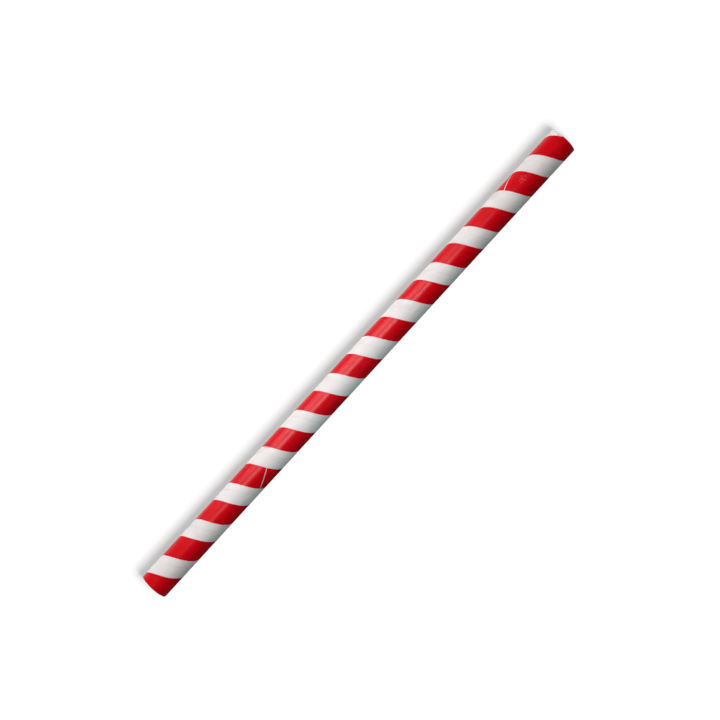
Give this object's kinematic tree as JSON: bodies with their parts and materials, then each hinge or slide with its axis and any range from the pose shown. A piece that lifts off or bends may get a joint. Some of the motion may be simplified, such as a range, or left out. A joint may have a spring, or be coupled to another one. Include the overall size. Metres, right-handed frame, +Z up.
{
  "type": "paper drinking straw",
  "caption": "Straight wide drinking straw of spiral-wound paper with a red and white spiral stripe, open at both ends.",
  "frame": {"origin": "on the table that the straw lies on, under the middle of the straw", "axes": "+X along the straw, +Z up"},
  "size_m": [0.2, 0.01, 0.0099],
  "materials": {
    "straw_paper": "bleached white paper with a slanted red printed band, matt to slightly glazed"
  },
  "bodies": {
    "root": {"straw": "straw_paper"}
  },
  "joints": []
}
